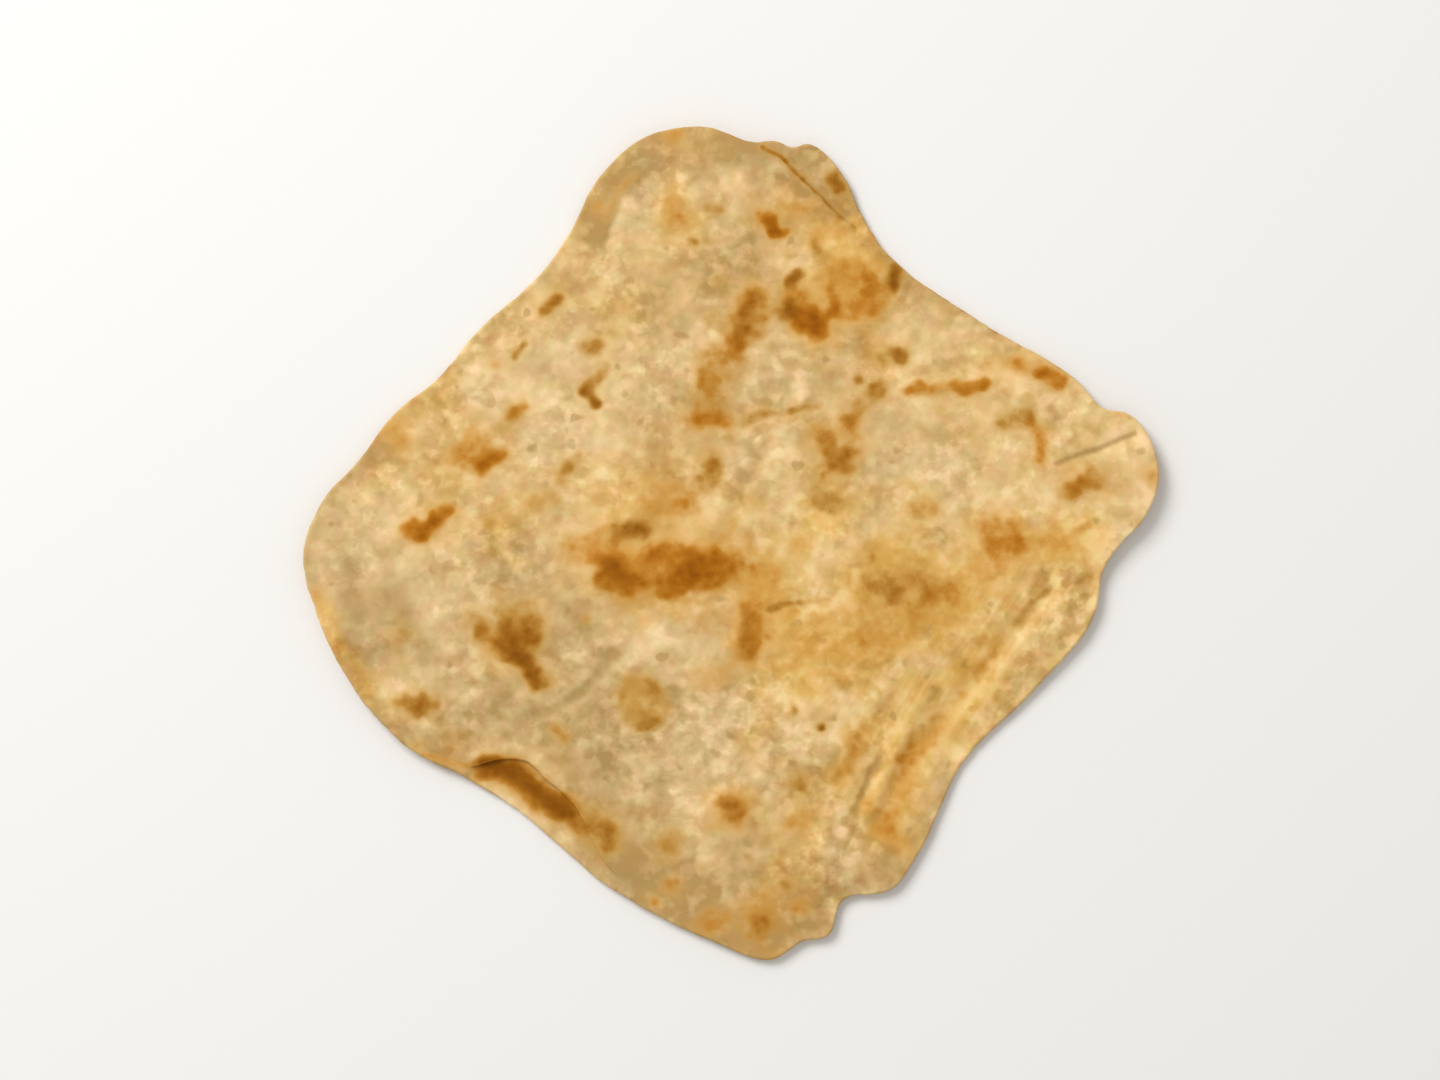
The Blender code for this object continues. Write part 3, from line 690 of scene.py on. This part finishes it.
def makeSurface():
    # Upper sheet, then rows out over the leaf's edge, across the lower leaf, round the rim and
    # under it, then the underside. Returns place, height, under (0 above, 1 below) and faces.
    n = grid["top"]
    last = 4 * n
    edge = rimAt(n)
    place, setback = edge[:, :2], edge[:, 2]
    reach = np.linalg.norm(place, axis=1)
    full = smoothstep(bread["leastSetback"], bread["fullSetback"], setback)
    ragged = rimShape["clearance"] + unevenness(place, rimShape["ragged"])

    def ring(inset):
        # The rim moved in towards the middle, with its unevenness fading on the way in
        inset = inset + ragged * (1.0 - smoothstep(0.0, bread["leastSetback"], inset))
        return place * (1.0 - inset / reach)[:, None]

    def outwards(row):
        # Distance from the rim of a row of the leaf's edge
        flat, stepped = row[:2]
        return leafEdge - (1.0 - full) * flat - full * stepped

    # Upper leaf, a little raised near the border that lies above the lower leaf
    far, size, seed = rimShape["leafWander"]
    leafEdge = setback + far * full * lattice(place, size, seed)
    sheet = fillSheet(ring(leafEdge), grid["evening"]).reshape(-1, 2)
    rimStep = grid["rimStep"]
    gap, owner = nearestOf(sheet, ring(leafEdge)[::rimStep])
    nearBorder = 1.0 - smoothstep(0.0, rimShape["lipWidth"], gap)
    lip = (1.0 - bread["lowerShare"]) * full[::rimStep][owner] * nearBorder

    # Its edge and the lower leaf
    places, levels = [sheet], [lip]
    for row in leafEdgeRows:
        places.append(ring(outwards(row)))
        levels.append(full * row[2])
    foot = outwards(leafEdgeRows[-1])
    for share in np.linspace(0.0, 1.0, rimShape["lowerRows"] + 1)[1:]:
        places.append(ring(foot + (rimShape["roundness"] - foot) * share))
        levels.append(full * leafEdgeRows[-1][2])

    upperPlace = np.concatenate(places)
    depth, fromEdge = thickness(upperPlace, np.concatenate(levels))
    inside = smoothstep(0.0, bread["edgeFade"], fromEdge)
    depth = depth + rimShape["browned"] * markField(upperPlace, toastMarks + umberMarks) * inside
    upperHeight = lie(upperPlace) + depth

    # Round the rim: from the top of the rounding over to the underside
    rimThick, rimFloor = depth[-last:], lie(upperPlace)[-last:]
    roundPlaces, roundHeights = [], []
    for turn in np.linspace(0.0, np.pi, rimShape["roundRows"] + 1)[1:]:
        share = (1.0 + np.cos(turn)) / 2.0
        inset = np.full(last, rimShape["roundness"] * (1.0 - np.sin(turn)))
        for far, level, width, size, seed in rimShape["creases"]:
            centre = level + rimShape["creaseWander"] * lattice(place, size, seed)
            strength = far * (0.5 + 0.5 * lattice(place, size / 2, seed + 1))
            inset += strength * np.exp(-(((share - centre) / width) ** 2))
        roundPlaces.append(ring(inset))
        roundHeights.append(rimFloor + rimThick * share)

    # Underside
    underPlace, innerLoop = [ring(np.full(last, inset)) for inset in rimShape["underInset"]]
    underSheet = fillSheet(innerLoop[::2], grid["underEvening"]).reshape(-1, 2)
    lowPlace = np.concatenate([underPlace, underSheet])
    lowHeight = lie(lowPlace) + unevenness(lowPlace, rimShape["dents"])

    allPlace = np.concatenate([upperPlace, *roundPlaces, lowPlace])
    allHeight = np.concatenate([upperHeight, *roundHeights, lowHeight])
    # The lower half of the rounding passes over to the underside's colours
    roundUnder = smoothstep(0.5, 1.0, np.linspace(0.0, 1.0, len(roundPlaces)))
    under = np.concatenate([
        np.zeros(len(upperPlace)), np.repeat(roundUnder, last), np.ones(len(lowPlace))
    ])

    # Faces
    i, j = borderCells(n)
    rows = [i * (n + 1) + j]
    first = len(sheet)
    rowCount = len(leafEdgeRows) + rimShape["lowerRows"] + len(roundPlaces) + 1
    rows += [first + r * last + np.arange(last) for r in range(rowCount)]
    underFirst = first + rowCount * last
    i, j = borderCells(n // 2)
    quads = [sheetFaces(n, 0, True)]
    quads += [bandFaces(inner, outer) for inner, outer in zip(rows[:-1], rows[1:])]
    quads.append(sheetFaces(n // 2, underFirst, False))
    triangles = halvingFaces(rows[-1], underFirst + i * (n // 2 + 1) + j)
    faces = np.concatenate(quads).tolist() + triangles.tolist()
    return allPlace, allHeight, under, faces


def addObject(name, data):
    piece = bpy.data.objects.new(name, data)
    bpy.context.collection.objects.link(piece)
    return piece


def makeBread():
    place, height, under, faces = makeSurface()
    mesh = bpy.data.meshes.new("breadCrust")
    mesh.from_pydata(np.column_stack([place, height]) * mm, [], faces)
    mesh.shade_smooth()
    above = 1.0 - under
    below = undersideMarks()
    halo = np.maximum(
        haloField(place, toastMarks), marking["umberHalo"] * haloField(place, umberMarks)
    )
    fields = dict(
        toast=markField(place, toastMarks + umberMarks) * above + markField(place, below) * under,
        halo=halo * above + haloField(place, below) * under,
    )
    # tone and olive carry painted highlights and painted shade as well as the dough's own colour
    upper = dict(
        umber=umberMarks, pleat=pleatMarks, gold=goldMarks, cool=coolMarks, olive=creaseShadeMarks,
        tone=toneShadeAndHighlightMarks, grain=grainMarks,
    )
    for name, marks in upper.items():
        fields[name] = signedField(place, marks) * above
    for name, values in fields.items():
        mesh.attributes.new(name, "FLOAT", "POINT").data.foreach_set("value", values)
    return addObject("breadCrust", mesh)


breadCrust = makeBread()
print("bread surface of", len(breadCrust.data.vertices), "points")


def newMaterial(name):
    material = bpy.data.materials.new(name)
    material.use_nodes = True
    return material, material.node_tree, material.node_tree.nodes["Principled BSDF"]


def colour(red, green, blue):
    # sRGB 0 to 255 turned into the linear values that shaders take
    share = np.array([red, green, blue]) / 255.0
    linear = np.where(share <= 0.04045, share / 12.92, ((share + 0.055) / 1.055) ** 2.4)
    return (*linear.tolist(), 1.0)


def join(tree, value, socket):
    # A socket is linked, and a plain value is written into the socket
    if isinstance(value, bpy.types.NodeSocket):
        tree.links.new(value, socket)
    else:
        socket.default_value = value


def newNode(tree, kind, inputs, **settings):
    # A node with those properties, and with a link or a value in each input named or numbered
    node = tree.nodes.new("ShaderNode" + kind)
    for name, value in settings.items():
        setattr(node, name, value)
    for key, value in inputs.items():
        join(tree, value, node.inputs[key])
    return node


def mixColour(tree, share, first, second, blend="MIX"):
    # Inputs 6 and 7 and output 2 are the colour ones
    inputs = {0: share, 6: first, 7: second}
    return newNode(tree, "Mix", inputs, data_type="RGBA", blend_type=blend).outputs[2]


def maths(tree, operation, *values, clamp=False):
    inputs = dict(enumerate(values))
    return newNode(tree, "Math", inputs, operation=operation, use_clamp=clamp).outputs[0]


def vectors(tree, operation, first, second):
    # SCALE takes a plain value second, and the other operations a vector
    inputs = {0: first, "Scale" if operation == "SCALE" else 1: second}
    return newNode(tree, "VectorMath", inputs, operation=operation).outputs[0]


def between(tree, value, low, high, start=0.0, end=1.0):
    # Smooth rise from start to end as the value goes from low to high
    inputs = dict(enumerate((value, low, high, start, end)))
    return newNode(tree, "MapRange", inputs, interpolation_type="SMOOTHSTEP").outputs[0]


def attribute(tree, name):
    return newNode(tree, "Attribute", {}, attribute_name=name).outputs["Fac"]


def placeGroup(tree, group, output, values):
    return newNode(tree, "Group", values, node_tree=group).outputs[output]


def rampMix(tree, value, share, colours):
    # Two colour ramps with the same stops, read at the value and mixed by the second one's share
    read = []
    for shades in colours["ramps"]:
        node = newNode(tree, "ValToRGB", {0: value})
        points = node.color_ramp.elements
        while len(points) < len(shades):
            points.new(0.5)
        for point, position, shade in zip(points, colours["stops"], shades):
            point.position = position
            point.color = colour(*shade)
        read.append(node.outputs[0])
    return mixColour(tree, share, *read)


def newGroup(name, inputs, outputs):
    # Group with those inputs, given with their defaults, and those outputs, all plain values
    group = bpy.data.node_groups.new(name, "ShaderNodeTree")
    kind = "NodeSocketFloat"
    for label, value in inputs.items():
        socket = group.interface.new_socket(name=label, in_out="INPUT", socket_type=kind)
        socket.default_value = value
    for label in outputs:
        group.interface.new_socket(name=label, in_out="OUTPUT", socket_type=kind)
    given = group.nodes.new("NodeGroupInput").outputs
    result = group.nodes.new("NodeGroupOutput").inputs
    place = group.nodes.new("ShaderNodeTexCoord").outputs["Object"]
    return group, given, result, place


def makeSpeckle():
    # Value: noise on object coordinates with blotches of a size in millimetres, pulled out along
    # a direction. Mask: the same, cut between two levels.
    defaults = dict(
        Size=4.0, Detail=3.0, Rough=0.55, Low=0.4, High=0.6, Stretch=1.0, Turn=0.0, Shift=0.0
    )
    group, given, result, place = newGroup("doughSpeckle", defaults, ("Mask", "Value"))
    turning = dict(Vector=place, Angle=given["Turn"])
    turned = newNode(group, "VectorRotate", turning, rotation_type="Z_AXIS")
    stretch = maths(group, "DIVIDE", 1.0, given["Stretch"])
    axes = newNode(group, "CombineXYZ", {0: stretch, 1: 1.0, 2: 1.0})
    stretched = vectors(group, "MULTIPLY", turned.outputs[0], axes.outputs[0])
    noise = newNode(group, "TexNoise", dict(
        Vector=vectors(group, "ADD", stretched, given["Shift"]),
        Scale=maths(group, "DIVIDE", 1.0 / mm, given["Size"]),
        Detail=given["Detail"],
        Roughness=given["Rough"],
    )).outputs["Fac"]
    join(group, between(group, noise, given["Low"], given["High"]), result["Mask"])
    join(group, noise, result["Value"])
    return group


cellShape = dict(
    stray=dict(Scale=0.8, Detail=2.0),  # noise that moves the patches about
    smoothness=0.55,
    bump=(0.05, 0.75),  # distance from a patch's middle where its bump falls off and ends
)


def makeCells():
    # Small uneven patches, from Voronoi cells on object coordinates moved about by noise.
    # Value is one random number per patch, Bump is 1 in the middle of a patch and 0 between them.
    defaults = dict(Size=3.0, Uneven=0.5, Shift=0.0)
    group, given, result, place = newGroup("doughCells", defaults, ("Value", "Bump"))
    cell = vectors(group, "SCALE", place, maths(group, "DIVIDE", 1.0 / mm, given["Size"]))
    noise = newNode(group, "TexNoise", dict(Vector=cell, **cellShape["stray"]))
    stray = vectors(group, "SCALE", noise.outputs["Color"], given["Uneven"])
    moved = vectors(group, "ADD", vectors(group, "ADD", cell, stray), given["Shift"])
    patch = dict(Vector=moved, Scale=1.0, Smoothness=cellShape["smoothness"])
    voronoi = newNode(group, "TexVoronoi", patch, feature="SMOOTH_F1").outputs
    split = newNode(group, "SeparateColor", {0: voronoi["Color"]})
    join(group, split.outputs[0], result["Value"])
    bump = between(group, voronoi["Distance"], *cellShape["bump"], 1.0, 0.0)
    join(group, bump, result["Bump"])
    return group


speckleGroup = makeSpeckle()
cellGroup = makeCells()

# Plain dough from the thin translucent spots to the dry pale ones, where it is greyish and
# where it is golden: sRGB 0 to 255
doughColours = dict(
    stops=(0.05, 0.28, 0.46, 0.62, 0.80, 0.97),
    ramps=[
        [
            (181, 146, 90), (198, 165, 111), (211, 178, 124),
            (223, 191, 137), (236, 204, 151), (247, 217, 167),
        ],
        [
            (186, 132, 48), (204, 152, 68), (218, 170, 86),
            (229, 184, 102), (240, 199, 122), (249, 213, 142),
        ],
    ],
)

# Browning from first colour to scorched, orange-brown and olive-brown
crustColours = dict(
    stops=(0.04, 0.28, 0.48, 0.66, 0.82, 1.00),
    ramps=[
        [
            (222, 175, 97), (210, 154, 70), (197, 134, 47),
            (182, 114, 23), (166, 97, 6), (146, 82, 0),
        ],
        [
            (218, 174, 98), (202, 156, 80), (188, 138, 61),
            (171, 116, 38), (152, 95, 16), (134, 79, 0),
        ],
    ],
)

# Inputs of the speckle group for each noise of the crust. Those with two levels are masks.
noises = dict(
    busy=dict(Size=24.0, Detail=1.0, Low=0.38, High=0.62, Shift=0.19),
    mottle=dict(Size=10.0, Detail=3.0, Rough=0.45),
    spots=dict(Size=4.6, Detail=2.0, Rough=0.45, Shift=0.31),
    grains=dict(Size=1.7, Detail=2.0, Shift=0.53),
    # The turn brings the pleats' direction onto X
    streaks=dict(Size=3.2, Detail=2.0, Stretch=7.0, Turn=math.radians(-57), Shift=0.61),
    dry=dict(Size=17.0, Detail=2.0, Low=0.42, High=0.62, Shift=0.43),
    crumbs=dict(Size=4.4, Detail=2.0, Low=0.50, High=0.62, Shift=0.57),
    warm=dict(Size=26.0, Detail=4.0, Rough=0.6, Low=0.34, High=0.66, Shift=0.43),
    patchwork=dict(Size=6.5, Detail=1.0, Rough=0.5, Shift=0.83),
    tints=dict(Size=5.5, Detail=2.0, Rough=0.5, Low=0.38, High=0.62, Shift=0.97),
    bran=dict(Size=5.5, Detail=0.5, Low=0.70, High=0.80, Shift=0.77),
    cloudy=dict(Size=5.0, Detail=4.0, Rough=0.6, Shift=0.91),
    dimples=dict(Size=1.3, Detail=4.0, Shift=0.23),
    pores=dict(Size=2.6, Detail=3.0, Low=0.30, High=0.52, Shift=0.67),
)

# Inputs of the cell group: plain dough's patches, and those that brown first
patches = dict(Size=3.5, Uneven=0.9)
raised = dict(Size=3.6, Uneven=1.1, Shift=0.37)

dough = dict(
    tone=0.46,  # middle of the lightness
    mottle=1.12,  # strength of each layer of it
    spots=0.88,
    grains=0.06,
    patches=0.40,
    streaks=0.85,
    quiet=0.54,  # share of the fine layers where the dough is smoothest
    busier=0.50,  # added to it by the placed marks
    crumbs=(0.03, 0.20),  # least and most
    placed=0.40,  # strength of the lightness marks
    warmth=(0.05, 0.30),  # least, and added by the broad noise
    patchwork=0.60,
    cooling=0.40,  # strength of the greyish marks
    tints=[(0.974, 1.026, 1.005, 1.0), (1.022, 0.976, 1.020, 1.0)],  # faint green, faint pink
    surround=(0.5, colour(213, 162, 84)),  # round the browned spots: share and colour
    olive=(0.4, colour(172, 143, 86)),  # painted shade along the creases and folds
    bran=(0.5, colour(168, 130, 66)),  # single flecks
    roughness=0.60,
    oiledRoughness=0.45,
    specular=0.1,
    bumpStrength=0.15,
    bumpDepth=0.2,
)

crust = dict(
    strength=1.04,  # browning against the mark's strength
    clouds=(1.35, -0.13),  # unevenness: the cloudy noise's strength, and what is added to it
    raised=0.34,  # and what the raised patches add
    evenAt=1.4,  # mark strength at which browning would be even
    cover=2.0,  # how fast browning hides the dough
    leastMark=0.05,  # below this strength no mark counts as olive-brown in full
)


def speckle(tree, name):
    output = "Mask" if "Low" in noises[name] else "Value"
    return placeGroup(tree, speckleGroup, output, noises[name])


def makeTone(tree):
    # Lightness: its middle plus each layer less 0.5 times a share and the layer's strength
    quiet = dough["quiet"]
    busy = maths(tree, "MULTIPLY_ADD", speckle(tree, "busy"), 1.0 - quiet, quiet)
    busy = maths(tree, "MULTIPLY_ADD", attribute(tree, "grain"), dough["busier"], busy)
    layers = [
        ("mottle", speckle(tree, "mottle"), 1.0),
        ("spots", speckle(tree, "spots"), busy),
        ("grains", speckle(tree, "grains"), busy),
        ("patches", placeGroup(tree, cellGroup, "Value", patches), busy),
        ("streaks", speckle(tree, "streaks"), attribute(tree, "pleat")),
    ]
    tone = dough["tone"]
    for name, layer, share in layers:
        layer = maths(tree, "MULTIPLY", maths(tree, "SUBTRACT", layer, 0.5), share)
        tone = maths(tree, "MULTIPLY_ADD", layer, dough[name], tone)
    least, most = dough["crumbs"]
    crumbly = maths(tree, "MULTIPLY_ADD", speckle(tree, "dry"), most - least, least)
    tone = maths(tree, "MULTIPLY_ADD", speckle(tree, "crumbs"), crumbly, tone)
    # The placed marks include painted highlights and painted shade on folds, creases and edges
    return maths(tree, "MULTIPLY_ADD", attribute(tree, "tone"), dough["placed"], tone)


def makeWarmth(tree, gold):
    # Share of the golden colours: noise of two sizes and the placed marks
    least, added = dough["warmth"]
    warmth = maths(tree, "MULTIPLY_ADD", speckle(tree, "warm"), added, least)
    small = maths(tree, "SUBTRACT", speckle(tree, "patchwork"), 0.5)
    warmth = maths(tree, "MULTIPLY_ADD", small, dough["patchwork"], warmth)
    warmth = maths(tree, "MULTIPLY_ADD", attribute(tree, "cool"), -dough["cooling"], warmth)
    return maths(tree, "ADD", warmth, gold, clamp=True)


def makeDough(tree, tone, warmth):
    # Plain dough by lightness and warmth, with faint tints, then the three colours laid over it
    base = rampMix(tree, tone, warmth, doughColours)
    tint = mixColour(tree, speckle(tree, "tints"), *dough["tints"])
    base = mixColour(tree, 1.0, base, tint, "MULTIPLY")
    masks = dict(
        surround=attribute(tree, "halo"),
        # The olive mask is painted shade along the creases, folds and the upper leaf's edge
        olive=attribute(tree, "olive"),
        bran=speckle(tree, "bran"),
    )
    for name, mask in masks.items():
        share, shade = dough[name]
        base = mixColour(tree, maths(tree, "MULTIPLY", mask, share), base, shade)
    return base


def makeBrowning(tree):
    # Amount of browning: strength * mark + mark * (evenAt - mark) * unevenness, and its colour
    toast = attribute(tree, "toast")
    cloudy = maths(tree, "SUBTRACT", speckle(tree, "cloudy"), 0.5)
    uneven = maths(tree, "MULTIPLY_ADD", cloudy, *crust["clouds"])
    lumpy = placeGroup(tree, cellGroup, "Bump", raised)
    uneven = maths(tree, "MULTIPLY_ADD", lumpy, crust["raised"], uneven)
    spread = maths(tree, "MULTIPLY", toast, maths(tree, "SUBTRACT", crust["evenAt"], toast))
    browned = maths(tree, "MULTIPLY", toast, crust["strength"])
    browned = maths(tree, "MULTIPLY_ADD", spread, uneven, browned, clamp=True)
    least = maths(tree, "MAXIMUM", toast, crust["leastMark"])
    umberShare = maths(tree, "DIVIDE", attribute(tree, "umber"), least, clamp=True)
    return browned, rampMix(tree, browned, umberShare, crustColours)


def makeCrustMaterial():
    material, tree, shader = newMaterial("brownedDough")
    gold = attribute(tree, "gold")
    base = makeDough(tree, makeTone(tree), makeWarmth(tree, gold))
    browned, shade = makeBrowning(tree)
    share = maths(tree, "MULTIPLY", browned, crust["cover"], clamp=True)
    join(tree, mixColour(tree, share, base, shade), shader.inputs["Base Color"])
    rough = between(tree, gold, 0.0, 1.0, dough["roughness"], dough["oiledRoughness"])
    join(tree, rough, shader.inputs["Roughness"])
    join(tree, dough["specular"], shader.inputs["Specular IOR Level"])

    # Relief: mean of the fine noise and the pores
    relief = maths(tree, "ADD", speckle(tree, "dimples"), speckle(tree, "pores"))
    bump = newNode(tree, "Bump", dict(
        Strength=dough["bumpStrength"],
        Distance=dough["bumpDepth"] * mm,
        Height=maths(tree, "MULTIPLY", relief, 0.5),
    ))
    join(tree, bump.outputs[0], shader.inputs["Normal"])
    return material


breadCrust.data.materials.append(makeCrustMaterial())
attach(breadCrust, "root")
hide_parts("flatbread")
print("crust material made")

# Floor, light and camera, in metres
studio = dict(
    floorSize=3.0,
    floorColour=colour(244, 243, 241),
    floorRoughness=0.8,
    floorSpecular=0.2,
    skyColour=colour(250, 248, 244),
    skyStrength=0.58,
    keyPower=30.0,
    keySize=1.0,
    keyPlace=(-1.0, 1.1, 1.5),
    cameraHeight=1.2,
    sensorWidth=36.0,  # mm
)


def makeFloor():
    half = studio["floorSize"] / 2
    corners = [(-half, -half, 0.0), (half, -half, 0.0), (half, half, 0.0), (-half, half, 0.0)]
    mesh = bpy.data.meshes.new("paleFloor")
    mesh.from_pydata(corners, [], [(0, 1, 2, 3)])
    material, tree, shader = newMaterial("palePaint")
    join(tree, studio["floorColour"], shader.inputs["Base Color"])
    join(tree, studio["floorRoughness"], shader.inputs["Roughness"])
    join(tree, studio["floorSpecular"], shader.inputs["Specular IOR Level"])
    mesh.materials.append(material)
    floor = addObject("paleFloor", mesh)


def makeLight():
    lamp = bpy.data.lights.new("windowLight", "AREA")
    lamp.energy = studio["keyPower"]
    lamp.size = studio["keySize"]
    light = addObject("windowLight", lamp)
    light.location = studio["keyPlace"]
    light.rotation_euler = (-light.location).to_track_quat("-Z", "Y").to_euler()
    world = bpy.data.worlds.new("studioWorld")
    world.use_nodes = True
    background = world.node_tree.nodes["Background"]
    background.inputs["Color"].default_value = studio["skyColour"]
    background.inputs["Strength"].default_value = studio["skyStrength"]
    bpy.context.scene.world = world


def makeCamera():
    # Straight above: the lens makes the picture as wide as its pixels times the scale
    width, height = photo["size"]
    middle = fromPhoto([width / 2, height / 2])[0] * mm
    lens = bpy.data.cameras.new("overheadCamera")
    lens.sensor_width = studio["sensorWidth"]
    pictureWidth = width * photo["mmPerPixel"] * mm
    lens.lens = studio["sensorWidth"] * studio["cameraHeight"] / pictureWidth
    camera = addObject("overheadCamera", lens)
    camera.location = (middle[0], middle[1], studio["cameraHeight"])
    bpy.context.scene.camera = camera


makeFloor()
makeLight()
makeCamera()
bpy.context.scene.view_settings.view_transform = "Standard"
print("stage set")
